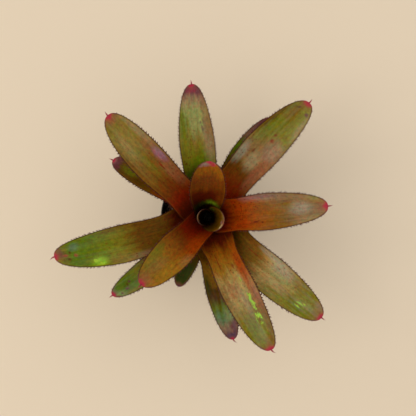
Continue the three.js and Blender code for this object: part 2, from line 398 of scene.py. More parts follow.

# shape: azimuth, sweep, reach, height, width, sheath width, pitch at the tip, length of the rounded end.
# hook: degrees the hook at the point turns aside. hookSize: its length, as a share.
# bloom, red, spots, specks: how much of each the leaf shows; bloom is a waxy film that is also painted sheen.
# brighter: painted light and shade across the leaf, how much lighter it is at across = 1.
# point: colour and size of the coloured tip. along: colours by share of the length; the greyer tones towards
# the outer end are partly painted sheen.
# washes: share, across, half-length, half-width, colour, strength; the pale greyish washes are painted sheen.
# streaks: the same, small and sharp.
# flecks: the same, torn into pieces with hard edges.
leaves = {
    "leaf_01": {
        "shape": (176, 0, 10.8, 152, 34, 24, 82, 20), "hookSize": 0.3, "point": ("tan", 2.0),
        # painted shade: the part down in the cup is near black
        "along": [(0.0, "cupShade"), (0.7, "cupShade"), (0.88, "peat"), (0.97, "tan")],
    },
    "leaf_02": {
        "shape": (-18, 0, 19.2, 160, 42, 34, 60, 26), "hookSize": 0.4, "point": ("clay", 2.5),
        "along": [(0.0, "cupShade"), (0.22, "peat"), (0.5, "bark"), (0.7, "bark"), (0.84, "walnut"),
                  (0.93, "bronze"), (0.985, "tan")],
        "washes": [(0.5, 0.85, 0.18, 0.3, "moss", 0.7), (0.93, 0.0, 0.05, 0.18, "lilac", 1.0),
                   (0.97, -0.4, 0.03, 0.45, "cream", 0.9)],
    },
    "leaf_03": {
        "shape": (91.5, -4, 60, 190, 42, 46, 34, 40), "hookSize": 0.4, "spots": 1.0, "specks": 0.3,
        "sideShading": -0.14, "point": ("pink", 2.6),
        "along": [(0.3, "cupShade"), (0.48, "mahogany"), (0.58, "mahogany"), (0.68, "umber"), (0.8, "umber"),
                  (0.88, "amber"), (0.95, "amber"), (0.97, "lilac")],
        "washes": [(0.34, 0.1, 0.07, 1.0, "forest", 1.0), (0.37, -0.35, 0.07, 0.6, "moss", 1.0),
                   (0.355, -0.4, 0.04, 0.4, "lime", 0.4), (0.5, -0.8, 0.14, 0.35, "umber", 0.8),
                   (0.97, 0.3, 0.03, 0.6, "lilac", 0.9), (0.975, 0.3, 0.015, 0.4, "silverSheen", 0.4),
                   (0.972, -0.35, 0.03, 0.35, "pink", 0.9)],
    },
    "leaf_04": {
        "shape": (227.5, -2.2, 100, 182, 42, 50, 22, 62), "sideShading": 0.18,
        "along": [(0.2, "garnet"), (0.34, "garnet"), (0.46, "umber"), (0.58, "amber"), (0.72, "honey"),
                  (0.92, "honey")],
        "washes": [(0.38, 0.65, 0.2, 0.5, "rust", 0.85), (0.6, 0.85, 0.08, 0.4, "tan", 0.5),
                   (0.74, -0.65, 0.13, 0.4, "olive", 0.8), (0.84, -0.6, 0.12, 0.4, "ochre", 0.6),
                   (0.8, -0.2, 0.12, 0.4, "tan", 0.4), (0.93, 0.0, 0.04, 0.9, "clay", 0.5)],
    },
    "leaf_05": {
        "shape": (6.2, -0.6, 130.8, 174, 43.5, 52, 16, 92), "bloomAndSheen": 0.6, "specks": 0.15,
        "along": [(0.18, "wine"), (0.28, "rust"), (0.37, "rust"), (0.54, "amber"), (0.68, "bronze"),
                  (0.8, "tan"), (0.95, "tan")],
        "washes": [(0.58, 0.85, 0.2, 0.35, "taupe", 0.7), (0.5, 0.9, 0.15, 0.25, "mauve", 0.45),
                   (0.81, 0.05, 0.09, 0.45, "silverSheen", 0.55), (0.7, -0.75, 0.14, 0.35, "bronze", 0.7),
                   (0.88, -0.8, 0.12, 0.3, "straw", 0.4), (0.95, 0.1, 0.03, 0.6, "clay", 0.5),
                   (0.9, 0.8, 0.07, 0.3, "sage", 0.4)],
        "streaks": [(0.47, -0.5, 0.02, 0.06, "wine", 0.8), (0.52, -0.55, 0.01, 0.06, "wine", 0.8)],
    },
    "leaf_06": {
        "shape": (138.5, -4.3, 154.6, 168, 41, 54, 10, 66), "hook": -8, "bloomAndSheen": 0.3, "red": 0.8,
        "point": ("pink", 4.4),
        "along": [(0.2, "mahogany"), (0.28, "garnet"), (0.38, "umber"), (0.5, "bronze"), (0.62, "bronze"),
                  (0.75, "ochre"), (0.95, "ochre")],
        "washes": [(0.46, -0.65, 0.16, 0.45, "clay", 0.6), (0.6, -0.7, 0.07, 0.25, "mauve", 0.9),
                   (0.8, -0.8, 0.16, 0.25, "drab", 0.6), (0.78, 0.35, 0.12, 0.3, "straw", 0.4),
                   (0.64, 0.1, 0.16, 0.2, "olive", 0.5), (0.7, 0.9, 0.12, 0.25, "walnut", 0.6),
                   (0.7, -0.6, 0.07, 0.4, "clay", 0.4), (0.96, 0.0, 0.03, 0.8, "clay", 0.6)],
        "streaks": [(0.53, -0.35, 0.03, 0.06, "garnet", 0.9)],
    },
    "leaf_07": {
        "shape": (-69.5, 5.4, 160.8, 160, 40.5, 56, 6, 84), "hook": 28, "bloomAndSheen": 0.7,
        "along": [(0.2, "mahogany"), (0.3, "amber"), (0.4, "honey"), (0.5, "straw"), (0.62, "straw"),
                  (0.74, "ochre"), (0.84, "olive"), (0.95, "olive")],
        "washes": [(0.45, 0.85, 0.19, 0.42, "rust", 0.9), (0.6, -0.85, 0.12, 0.25, "bronze", 0.6),
                   (0.68, 0.85, 0.14, 0.33, "clay", 0.85), (0.84, 0.85, 0.16, 0.35, "bronze", 0.7),
                   (0.56, -0.3, 0.08, 0.5, "clay", 0.45), (0.66, 0.05, 0.14, 0.2, "drab", 0.5),
                   (0.88, 0.05, 0.07, 0.3, "sage", 0.6), (0.94, 0.3, 0.03, 0.5, "clay", 0.4),
                   (0.84, -0.4, 0.12, 0.5, "moss", 0.35)],
        "flecks": [(0.68, 0.42, 0.11, 0.14, "lime", 0.9), (0.785, 0.36, 0.055, 0.22, "lime", 1.0)],
        "streaks": [(0.35, -0.45, 0.07, 0.03, "garnet", 0.8), (0.51, 0.35, 0.02, 0.04, "lime", 0.7),
                    (0.41, 0.3, 0.02, 0.07, "garnet", 0.7)],
    },
    "leaf_08": {
        "shape": (55.1, -6.8, 169.7, 153, 44, 58, 4, 80), "hook": 12, "bloomAndSheen": 0.4, "sideShading": -0.14,
        "along": [(0.22, "garnet"), (0.33, "umber"), (0.42, "walnut"), (0.47, "tan"), (0.6, "tan"),
                  (0.72, "olive"), (0.95, "olive")],
        "washes": [(0.49, 0.0, 0.08, 0.4, "drab", 0.9), (0.51, 0.75, 0.09, 0.28, "frostSheen", 0.5),
                   (0.6, -0.5, 0.07, 0.45, "mauve", 0.35), (0.44, -0.75, 0.16, 0.4, "clay", 0.8),
                   (0.63, -0.5, 0.08, 0.6, "taupe", 0.8), (0.84, -0.85, 0.14, 0.3, "drab", 0.7),
                   (0.7, 0.6, 0.12, 0.4, "moss", 0.5), (0.9, 0.3, 0.08, 0.5, "bronze", 0.7),
                   (0.8, 0.95, 0.16, 0.3, "walnut", 0.8)],
        "streaks": [(0.31, -0.32, 0.04, 0.06, "garnet", 0.9), (0.67, -0.1, 0.02, 0.12, "garnet", 0.8),
                    (0.71, 0.0, 0.01, 0.08, "garnet", 0.7), (0.93, -0.6, 0.015, 0.2, "plum", 0.8),
                    (0.94, 0.35, 0.012, 0.2, "wine", 0.7), (0.55, 0.3, 0.02, 0.06, "wine", 0.6)],
    },
    "leaf_09": {
        "shape": (201.4, -7, 175.7, 145, 44, 58, 0, 92), "hook": 30, "bloomAndSheen": 0.3, "red": 0.15,
        "sideShading": 0.06,
        "along": [(0.2, "mahogany"), (0.3, "walnut"), (0.46, "walnut"), (0.58, "olive"), (0.72, "moss"),
                  (0.88, "fern"), (0.96, "olive")],
        "washes": [(0.5, 0.85, 0.14, 0.3, "taupe", 0.6), (0.6, 0.7, 0.1, 0.35, "ochre", 0.8),
                   (0.6, -0.85, 0.12, 0.25, "walnut", 0.6), (0.87, -0.5, 0.04, 0.3, "sea", 0.9),
                   (0.735, 0.68, 0.055, 0.3, "lime", 0.7), (0.94, 0.1, 0.03, 0.8, "plum", 0.3),
                   (0.97, -0.3, 0.03, 0.8, "plum", 0.7)],
        "flecks": [(0.72, 0.8, 0.02, 0.12, "lime", 0.6), (0.76, 0.62, 0.014, 0.14, "lime", 0.6)],
        "streaks": [(0.865, 0.1, 0.015, 0.14, "pink", 0.5), (0.93, 0.05, 0.02, 0.16, "pink", 0.5),
                    (0.9, -0.15, 0.008, 0.1, "wine", 0.7), (0.91, 0.4, 0.012, 0.12, "wine", 0.7)],
    },
    "leaf_10": {
        "shape": (-43.8, 2.6, 170.9, 138, 44, 58, -4, 84), "bloomAndSheen": 1.0,
        "along": [(0.25, "bark"), (0.4, "bronze"), (0.52, "straw"), (0.64, "straw"), (0.74, "ochre"),
                  (0.84, "olive"), (0.95, "ochre")],
        "washes": [(0.5, 0.85, 0.1, 0.25, "silverSheen", 0.5), (0.6, 0.6, 0.1, 0.4, "silverSheen", 0.5),
                   (0.66, 0.2, 0.12, 0.2, "sage", 0.5), (0.66, -0.8, 0.14, 0.4, "olive", 0.7),
                   (0.8, -0.5, 0.12, 0.35, "moss", 0.5), (0.94, 0.7, 0.04, 0.5, "taupe", 0.6),
                   (0.86, 0.0, 0.08, 0.4, "sage", 0.45)],
        "flecks": [(0.83, -0.28, 0.035, 0.2, "lime", 0.85), (0.86, 0.0, 0.02, 0.12, "lime", 0.6)],
        "streaks": [(0.39, 0.34, 0.08, 0.03, "garnet", 0.8)],
    },
    "leaf_11": {
        "shape": (98.8, -2.1, 151.7, 133, 43, 58, -4, 100), "bloomAndSheen": 0.3, "point": ("pink", 3.2),
        "along": [(0.3, "forest"), (0.44, "moss"), (0.56, "ochre"), (0.7, "sage"), (0.8, "sage"),
                  (0.89, "taupe"), (0.95, "plum")],
        "washes": [(0.56, 0.7, 0.2, 0.5, "olive", 1.0), (0.72, 0.85, 0.12, 0.4, "moss", 0.8),
                   (0.58, -0.75, 0.2, 0.45, "taupe", 0.8), (0.85, -0.8, 0.08, 0.4, "clay", 0.5),
                   (0.72, -0.8, 0.12, 0.35, "tan", 0.8), (0.955, 0.0, 0.03, 0.8, "pink", 0.35)],
        "streaks": [(0.66, -0.4, 0.025, 0.08, "plum", 0.6), (0.71, -0.35, 0.015, 0.07, "plum", 0.6)],
    },
    "leaf_12": {
        "shape": (225.5, -6, 140.3, 122, 31, 56, -8, 78), "bloomAndSheen": 0.5, "point": ("pink", 3.5),
        "along": [(0.5, "bark"), (0.68, "olive"), (0.8, "fern"), (0.9, "fern"), (0.95, "sea")],
        "washes": [(0.94, 0.5, 0.05, 0.5, "sage", 0.5), (0.82, 0.8, 0.1, 0.3, "olive", 0.7),
                   (0.985, 0.0, 0.02, 1.0, "violet", 0.8)],
        "streaks": [(0.86, 0.25, 0.02, 0.15, "plum", 0.9), (0.81, -0.2, 0.015, 0.12, "plum", 0.8),
                    (0.84, 0.0, 0.01, 0.2, "wine", 0.7), (0.92, 0.5, 0.012, 0.2, "plum", 0.8)],
    },
    "leaf_13": {
        "shape": (142.5, 6.2, 126.6, 118, 30, 54, -8, 50), "point": ("pink", 2.4),
        "along": [(0.4, "rust"), (0.55, "walnut"), (0.7, "bark"), (0.9, "bark"), (0.95, "plum")],
        "washes": [(0.8, 0.2, 0.1, 0.5, "moss", 0.5), (0.985, 0.0, 0.025, 0.9, "mauve", 0.6)],
    },
    "leaf_14": {
        "shape": (-82.8, 4.8, 144.6, 112, 34, 54, -10, 88), "hook": 32, "bloomAndSheen": 0.6, "sideShading": 0.05,
        "point": ("pink", 2.2),
        "along": [(0.3, "walnut"), (0.42, "honey"), (0.5, "bark"), (0.62, "bark"), (0.7, "moss"),
                  (0.8, "sea"), (0.88, "taupe"), (0.95, "plum")],
        "washes": [(0.46, -0.4, 0.08, 0.4, "honey", 0.8), (0.5, -0.9, 0.12, 0.4, "forest", 0.8),
                   (0.87, 0.5, 0.06, 0.5, "plum", 0.9), (0.78, 0.2, 0.08, 0.4, "sage", 0.5),
                   (0.97, 0.0, 0.03, 1.0, "violet", 0.8)],
    },
    "leaf_15": {
        "shape": (57.6, -1.6, 138.2, 108, 40, 54, -10, 72),
        "along": [(0.4, "bark"), (0.6, "fern"), (0.76, "bark"), (0.88, "plum")],
        "washes": [(0.78, 0.8, 0.1, 0.4, "lilac", 0.5)],
    },
    "leaf_16": {
        "shape": (245.2, 2, 88.2, 100, 26, 48, -8, 50), "hookSize": 0.4, "red": 0.0, "point": ("plum", 3.0),
        "along": [(0.4, "bark"), (0.6, "forest"), (0.94, "forest"), (0.985, "bark")],
    },
}


def bladeValues(name):
    # the numbers a blade's tree takes, in metres and radians
    order = list(leaves).index(name)
    azimuth, sweep, reach, height, width, sheath, tipPitch, taper = leaves[name]["shape"]
    inCup = name in leafRule["cupLeaves"]
    radius = leafRule["firstBaseRadius"] + leafRule["basePitch"] * order
    coneRadius = radius - leafRule["thickness"] / 2
    shoulder = leafRule["firstShoulder"] - leafRule["shoulderPerLeaf"] * order
    arch = leafRule["archShare"] * (reach - radius)
    return {
        "Base Radius": radius * mm,
        "Base Height": (plant["coneTipHeight"] - plant["coneSlope"] * coneRadius + leafRule["baseGap"]) * mm,
        "Rise": math.radians(leafRule["firstRise"] - leafRule["risePerLeaf"] * order),
        "Shoulder": (leafRule["cupShoulder"] if inCup else shoulder) * mm,
        "Reach": reach * mm,
        "Tip Height": height * mm,
        "Tip Pitch": math.radians(tipPitch),
        "Arch": (leafRule["cupArch"] if inCup else arch) * mm,
        "Azimuth": math.radians(azimuth),
        "Sweep": math.radians(sweep),
        "Width": width * mm,
        "Sheath": sheath * mm,
        "Taper": taper * mm,
        "Ripple": (0.3 if inCup else 1.0) * leafRule["ripple"] * mm,
        "Seed": 7.3 * order,
    }


bladeValuesOf = {name: bladeValues(name) for name in leaves}
bladeSizes = list(bladeValuesOf["leaf_01"])


def makeBladeRule():
    # where a point of a blade lies, from its share of the length, its place across and its side
    kinds = {name: "Float" for name in bladeSizes + ["Share", "Across", "Side"]}
    tree, bench, size = geometryTree("bladeRule", kinds)
    share = size["Share"]
    across = size["Across"]

    # profile, as radius (X) and height (Z)
    startX = size["Base Radius"] + size["Shoulder"] * bench.maths("COSINE", size["Rise"])
    startZ = size["Base Height"] + size["Shoulder"] * bench.maths("SINE", size["Rise"])
    endX = size["Reach"] - size["Arch"] * bench.maths("COSINE", size["Tip Pitch"])
    endZ = size["Tip Height"] - size["Arch"] * bench.maths("SINE", size["Tip Pitch"])
    profile = bench.wire("GeometryNodeCurvePrimitiveBezierSegment", {
        "Resolution": 160,
        "Start": bench.vector(size["Base Radius"], 0.0, size["Base Height"]),
        "Start Handle": bench.vector(startX, 0.0, startZ),
        "End Handle": bench.vector(endX, 0.0, endZ),
        "End": bench.vector(size["Reach"], 0.0, size["Tip Height"]),
    }, mode="POSITION")
    length = bench.wire("GeometryNodeCurveLength", {"Curve": profile})
    sample = bench.node("GeometryNodeSampleCurve", {"Curves": profile, "Factor": share}, mode="FACTOR")
    radius, height = bench.parts(Wire(bench, sample.outputs["Position"]))[::2]
    alongR, alongZ = bench.parts(Wire(bench, sample.outputs["Tangent"]))[::2]

    # outline: clasping sheath, waist, strap, rounded end
    waist = size["Width"] * leafRule["waistShare"]
    narrowing = bench.rise(share, leafRule["sheathEnd"], leafRule["waistAt"])
    narrowed = bench.blend(size["Sheath"], waist, narrowing)
    strap = narrowed + (size["Width"] - waist) * bench.rise(share, leafRule["waistAt"], leafRule["bladeAt"])
    toTip = bench.least(1.0, (1.0 - share) * length / size["Taper"])
    rounding = (1.0 - (1.0 - toTip) ** 2.0) ** leafRule["tipRoundness"]
    half = bench.most(leafRule["tipHalfWidth"] * mm, strap * 0.5 * rounding)

    # how far it wraps round the younger leaves
    wrap = radius * math.radians(leafRule["widestWrap"])
    clasp = (half ** -4.0 + wrap ** -4.0) ** -0.25
    angle = size["Azimuth"] + size["Sweep"] * share + across * clasp / radius

    # gutter and waves
    fading = 1.0 - share * share * leafRule["gutterFade"]
    gutter = size["Width"] * bench.rise(share, leafRule["gutterStart"], leafRule["gutterFull"]) * fading
    gutter = gutter * leafRule["gutterShare"] * bench.least(1.0, half * 2.0 / size["Width"])
    wave = bench.noise(bench.vector(across * 0.9, share * 5.0, size["Seed"]), 1.0) - 0.5
    wave = wave * size["Ripple"] * bench.rise(share, 0.35, 0.65) * (0.4 + across * across)

    # thickness, closing to nothing at the margins, the base and the tip
    thickness = bench.maths("MULTIPLY_ADD", across * across,
                            (leafRule["marginThickness"] - leafRule["thickness"]) * mm,
                            leafRule["thickness"] * mm)
    edge = bench.maths("SQRT", bench.most(0.0, 1.0 - bench.maths("ABSOLUTE", across) ** 14.0))
    tipClosing = bench.maths("SQRT", bench.least(1.0, (1.0 - share) * 90.0))
    ends = bench.least(bench.rise(share, 0.0, 0.01), tipClosing)
    offset = size["Side"] * thickness * 0.5 * edge * ends

    radiusOut = radius - offset * alongZ
    position = bench.vector(
        radiusOut * bench.maths("COSINE", angle) + plant["axis"][0] * mm,
        radiusOut * bench.maths("SINE", angle) + plant["axis"][1] * mm,
        height + offset * alongR + gutter * across * across + wave)
    treeOutputs(tree, bench, {
        "Position": ("Vector", position),
        "Half Width": ("Float", clasp),
        "Length": ("Float", length),
    })
    return tree


bladeRule = makeBladeRule()


def askBlade(bench, size, share, across, side=0.0):
    # one use of the blade rule in another tree
    asked = bench.node("GeometryNodeGroup", node_tree=bladeRule)
    for name in bladeSizes:
        bench.feed(asked.inputs[name], size[name])
    bench.feed(asked.inputs["Share"], share)
    bench.feed(asked.inputs["Across"], across)
    bench.feed(asked.inputs["Side"], side)
    return {out.name: Wire(bench, out) for out in asked.outputs}


def store(bench, geometry, name, value, kind="FLOAT", domain="POINT"):
    sockets = {"Geometry": geometry, "Name": name, "Value": value}
    return bench.wire("GeometryNodeStoreNamedAttribute", sockets, data_type=kind, domain=domain)


def named(bench, name):
    return bench.wire("GeometryNodeInputNamedAttribute", {"Name": name}, data_type="FLOAT")


def leafBlade(bench, size):
    # two sheets laid on the rule's surface and closed along the margins
    grid = bench.wire("GeometryNodeMeshGrid", {
        "Size X": 2.0, "Size Y": 1.0, "Vertices X": size["Columns"], "Vertices Y": size["Rows"]})
    x, y = bench.parts(bench.position())[:2]
    crowdedAcross = x * (1.5 - x * x * 0.5)
    crowdedShare = 1.0 - (0.5 - y) ** 1.5
    marked = store(bench, grid, "leafAcross", crowdedAcross)
    marked = store(bench, marked, "leafShare", crowdedShare)
    flipped = bench.wire("GeometryNodeFlipFaces", {"Mesh": marked})
    upper = store(bench, store(bench, flipped, "leafSide", 1.0, domain="FACE"), "sheet", 1.0)
    lower = store(bench, store(bench, marked, "leafSide", -1.0, domain="FACE"), "sheet", -1.0)
    both = bench.join(lower, upper)

    share = named(bench, "leafShare")
    across = named(bench, "leafAcross")
    blade = askBlade(bench, size, share, across, named(bench, "sheet"))
    both = store(bench, both, "toMargin", (1.0 - bench.maths("ABSOLUTE", across)) * blade["Half Width"])
    both = store(bench, both, "toTip", (1.0 - share) * blade["Length"])
    flatPlace = bench.vector(across * blade["Half Width"], share * blade["Length"], 0.0)
    both = store(bench, both, "leafMap", flatPlace, "FLOAT2", "CORNER")
    both = bench.movedTo(both, blade["Position"])
    both = bench.wire("GeometryNodeMergeByDistance", {"Geometry": both, "Distance": 2e-6})
    return clad(bench, bench.wire("GeometryNodeSetShadeSmooth", {"Geometry": both}), size["Material"])


# Leaf skin

skin = {
    "grains": {              # width and length in mm, shift, detail, roughness
        "veins": (1.5, 30, 0, 3),
        "stripes": (4.2, 60, 3.1),
        "mottle": (3.2, 4.8, 5.7, 4, 0.62),
        "blotches": (8, 14, 1.3, 3),
        "cloud": (18, 38, 9.2),
        "pores": (0.5, 0.8, 2.2),
        "grit": (1.1, 1.7, 6.4),
        "greenToRed": (2.4, 3.4, 7.9, 3),
    },
    "veinTone": 0.6,         # how far the lengthwise veins darken and lighten it
    "mottleTone": 1.25,
    "gritTone": 0.45,        # fine cells
    "poreTone": 0.2,         # the finest ones
    "flush": (1.14, 0.7, 0.5, 1.0),  # red blotches of the inner half
    "redGrain": (1.12, 0.9, 0.78, 1.0),
    "greenGrain": (0.91, 1.07, 0.9, 1.0),
    "yellowing": (1.1, 1.12, 0.78, 1.0),  # pale lengthwise stripes
    "yellowShare": 0.6,
    "speckColour": "5c0a04",  # fine red specks
    "speckSpacing": 2.3,     # mm
    "speckRadius": 0.72,
    "speckShare": 0.16,      # share of the places that have one
    "speckStretch": 0.8,
    "bloomAndSheen": "94969c",       # thin waxy bloom on the outer half, also painted sheen of the sky on the glossy leaf
    "bloomAndSheenShare": 0.16,
    "spotColour": "560703",  # larger spots
    "spotSpacing": 6.5,
    "spotRadius": 1.0,
    "marginColour": "300a04",
    "marginWidth": 1.0,      # mm
    "underColour": "6a5a3a",
    "scurfColour": "9a9484",
    "tipSize": 4.6,          # mm
    "tipRim": 16.0,          # mm, plum line round the end
    "gloss": 0.13,
    "glossTint": "ffd9a0",
    "roughness": 0.4,
}


def patchMask(bench, share, across, grain, patch, roughness):
    # 1 in the middle of the patch, fading to 0 at its ragged edge
    atShare, atAcross, halfLong, halfWide = patch[:4]
    dx = (share - atShare) / halfLong
    dy = (across - atAcross) / halfWide
    distance = bench.distance(dx, dy) + (grain - 0.5) * roughness
    return bench.rise(distance, 1.3, 0.3)


def speckMask(bench, u, v, grain, kind, seed, amount):
    # round specks or spots on the skin; amount is the share of places that have one
    spacing = skin[kind + "Spacing"]
    radius = skin[kind + "Radius"]
    at = bench.vector(u * (metre / spacing), v * (skin["speckStretch"] * metre / spacing), seed)
    cells = bench.node("ShaderNodeTexVoronoi", {"Vector": at, "Scale": 1.0, "Randomness": 1.0})
    chance, size = bench.parts(Wire(bench, cells.outputs["Color"]))[:2]
    distance = Wire(bench, cells.outputs["Distance"]) + (grain - 0.5) * 0.6
    reach = (0.4 + size * 0.8) * radius / spacing
    return bench.rise(distance / reach, 1.3, 0.6) * bench.rise(amount - chance, -0.05, 0.05)


class Paint:
    # a colour that takes one layer after another; a layer is a foliage colour, a hex text, numbers or a wire
    def __init__(self, bench, colour):
        self.bench = bench
        self.colour = colour

    def lay(self, colour, share, how="MIX"):
        if isinstance(colour, str):
            colour = shaded(foliage.get(colour, colour))
        self.colour = self.bench.mixColour(self.colour, colour, share, how)


def leafMaterial(name, leaf, seed):
    material, bench, shader = newMaterial(name + "Skin")
    u, v = bench.parts(bench.wire("ShaderNodeUVMap", uv_map="leafMap"))[:2]
    share, across, toMargin, toTip, side = [
        bench.wire("ShaderNodeAttribute", output="Fac", attribute_name=title)
        for title in ("leafShare", "leafAcross", "toMargin", "toTip", "leafSide")]

    def grainOf(wide, long, shift, detail=2.0, roughness=0.5):
        # noise whose cells are this many millimetres wide and long
        at = bench.vector(u * (metre / wide), v * (metre / long), seed + shift)
        return bench.noise(at, detail, roughness)

    grains = [grainOf(*numbers) for numbers in skin["grains"].values()]
    veins, stripes, mottle, blotches, cloud, pores, grit, greenToRed = grains

    # colours along the leaf, redder in blotches and paler in stripes
    stops = [(at, shaded(foliage[colour])) for at, colour in leaf["along"]]
    wander = (cloud - 0.5) * 0.14 + (stripes - 0.5) * 0.12 + (blotches - 0.5) * 0.06
    paint = Paint(bench, bench.ramp(share + wander, stops))
    reddening = bench.rise(blotches, 0.5, 0.68) * bench.rise(share, 0.9, 0.35) * leaf.get("red", 0.5)
    paint.lay(skin["flush"], reddening, "MULTIPLY")
    paint.lay(skin["yellowing"], bench.rise(stripes, 0.5, 0.66) * skin["yellowShare"], "MULTIPLY")

    ragged = stripes * 0.45 + mottle * 0.25 + blotches * 0.3
    torn = bench.rise(stripes * 0.5 + mottle * 0.5, 0.47, 0.51)
    patchEdges = {"washes": (ragged, 1.8), "flecks": (mottle, 1.0), "streaks": (mottle, 1.4)}
    # the pale greyish washes are painted sheen laid over the leaf's own colours
    for kind, (grain, roughness) in patchEdges.items():
        for patch in leaf.get(kind, []):
            mask = patchMask(bench, share, across, grain, patch, roughness)
            if kind == "flecks":
                mask = bench.rise(mask * torn, 0.2, 0.5)
            paint.lay(patch[4], mask * patch[5])

    # mottling and veins
    reds = bench.rise(greenToRed, 0.36, 0.64)
    paint.lay(bench.mixColour(skin["greenGrain"], skin["redGrain"], reds), 1.0, "MULTIPLY")
    tone = 1.0 + (veins - 0.5) * skin["veinTone"] + (mottle - 0.5) * skin["mottleTone"]
    tone = tone + (grit - 0.5) * skin["gritTone"] + (pores - 0.5) * skin["poreTone"]
    # painted light and shade: one half of the leaf lighter, the other darker
    tone = tone * (1.0 + across * leaf.get("sideShading", 0.0))
    paint.lay(bench.vector(tone, tone, tone), 1.0, "MULTIPLY")

    # fine red specks everywhere, a few larger spots, and a thin waxy bloom over them that is also painted
    # sheen
    crowding = skin["speckShare"] + leaf.get("specks", 0.0) + bench.rise(cloud, 0.4, 0.62) * 0.45
    specks = speckMask(bench, u, v, pores * 0.5 + mottle * 0.5, "speck", seed, crowding)
    paint.lay(skin["speckColour"], specks * bench.blend(0.3, 0.65, bench.rise(share, 0.8, 0.45)))
    spots = speckMask(bench, u, v, mottle, "spot", seed + 2.0, bench.rise(blotches, 0.42, 0.6) * 0.35)
    paint.lay(skin["spotColour"], spots * bench.rise(share, 1.05, 0.55) * leaf.get("spots", 0.75))
    # waxy bloom and painted sheen: a pale bluish-grey film over the outer half
    bloomAndSheenFilm = bench.rise(share, 0.42, 0.72) * bench.rise(stripes * 0.6 + cloud * 0.4, 0.36, 0.62)
    paint.lay(skin["bloomAndSheen"], bloomAndSheenFilm * skin["bloomAndSheenShare"] * leaf.get("bloomAndSheen", 0.0))

    # dark line along the margins with a painted highlight inside it, plum round the end, pink at the point
    wide = skin["marginWidth"] * mm
    edgeGrain = toMargin + (mottle - 0.5) * 0.4 * mm
    # painted highlight: a thin pale line just inside the dark margin, where the thin edge catches the light
    paintedRimHighlight = bench.rise(edgeGrain, wide, wide * 1.5) * bench.rise(edgeGrain, wide * 2.4, wide * 1.6)
    paint.lay("honey", paintedRimHighlight * 0.3)
    paint.lay(skin["marginColour"], bench.rise(edgeGrain, wide * 1.3, wide * 0.4) * 0.85)
    fromPoint = bench.maths("SQRT", toTip * toTip + u * u * 0.8)
    fromPoint = fromPoint + (mottle - 0.5) * 4.0 * mm + (blotches - 0.5) * 3.0 * mm
    rim = skin["tipRim"] * mm
    plum = bench.rise(toMargin + (mottle - 0.5) * 1.5 * mm, wide * 2.6, wide * 0.7)
    paint.lay("plum", plum * bench.rise(fromPoint, rim, rim * 0.4) * 0.75)
    pointColour, pointSize = leaf.get("point", ("pink", skin["tipSize"]))
    tip = pointSize * mm
    paint.lay("clay", bench.rise(fromPoint, tip * 2.6, tip) * 0.4)
    paint.lay(pointColour, bench.rise(fromPoint, tip * 1.5, tip * 0.5) * 0.9)

    # duller underside with a pale scurf
    under = bench.rise(side, 0.5, -0.5)
    crossBands = bench.noise(bench.vector(u * 90.0, v * 620.0 + cloud * 8.0, seed), 3.0)
    dull = Paint(bench, paint.colour)
    dull.lay(skin["underColour"], 0.35)
    dull.lay(skin["scurfColour"], bench.rise(crossBands, 0.42, 0.75) * 0.28)
    paint.lay(dull.colour, under)

    shader.inputs["Specular Tint"].default_value = shaded(skin["glossTint"])
    rough = skin["roughness"] + (mottle - 0.5) * 0.25 + under * 0.15
    relief = stripes * 0.5 + veins * 0.3 + mottle * 0.15 + pores * 0.03
    finishSurface(bench, shader, paint.colour, rough, skin["gloss"], relief, 0.5, 1.0)
    return material


for order, (name, leaf) in enumerate(leaves.items()):
    blade = grow(name + "_blade", leafBlade, {
        **bladeValuesOf[name],
        "Rows": leafRule["rows"],
        "Columns": leafRule["columns"],
        "Material": leafMaterial(name, leaf, 4.7 * order),
    })
    place(blade, [name])
print("leaves grown:", len(leaves))


# Spines along the margins, and the bent hook at each leaf's point
spines = {
    "length": 2.1,           # mm
    "cupLength": 1.1,
    "spacing": 3.3,
    "stoutness": 0.48,        # radius over length
    "variation": (0.75, 1.15),
    "sheathSize": 0.25,      # how large they still are down in the cup, and at the point
    "pointSize": 0.6,
    "bend": 0.35,
    "lean": 0.6,             # towards the point
    "firstShare": 0.2,
    "lastShare": 0.975,
    "seed": 11,
    "colour": "521608",
    "hookLength": 5.4,
    "hookStoutness": 0.23,
    "hookColour": "9a1a34",
}


def thornShape(bench, stoutness, bend):
    # one thorn a metre long, standing on Z and bending towards X
    path = bench.wire("GeometryNodeCurvePrimitiveBezierSegment", {
        "Resolution": 12,
        "Start": (0.0, 0.0, -0.3),
        "Start Handle": (0.0, 0.0, 0.2),
        "End Handle": bench.vector(bend * 0.3, 0.0, 0.7),
        "End": bench.vector(bend, 0.0, 0.95),
    }, mode="POSITION")
    path = bench.wire("GeometryNodeResampleCurve", {"Curve": path, "Count": 7})
    along = bench.wire("GeometryNodeSplineParameter")
    girth = stoutness * (1.03 - along ** 1.1) * bench.blend(0.25, 1.0, bench.rise(along, 0.0, 0.3))
    ring = bench.wire("GeometryNodeCurvePrimitiveCircle", {"Resolution": 5, "Radius": 1.0}, mode="RADIUS")
    thorn = bench.wire("GeometryNodeCurveToMesh", {
        "Curve": path, "Profile Curve": ring, "Scale": girth, "Fill Caps": True})
    return bench.wire("GeometryNodeSetShadeSmooth", {"Geometry": thorn})


def setThorns(bench, points, thorn, direction, forward, scale):
    # thorns on the points, standing along direction and bending forward
    turned = bench.wire("FunctionNodeAlignRotationToVector", {"Vector": direction}, axis="Z")
    turned = bench.wire("FunctionNodeAlignRotationToVector", {
        "Rotation": turned, "Vector": forward}, axis="X", pivot_axis="Z")
    return bench.scatter(points, thorn, turned, scale)


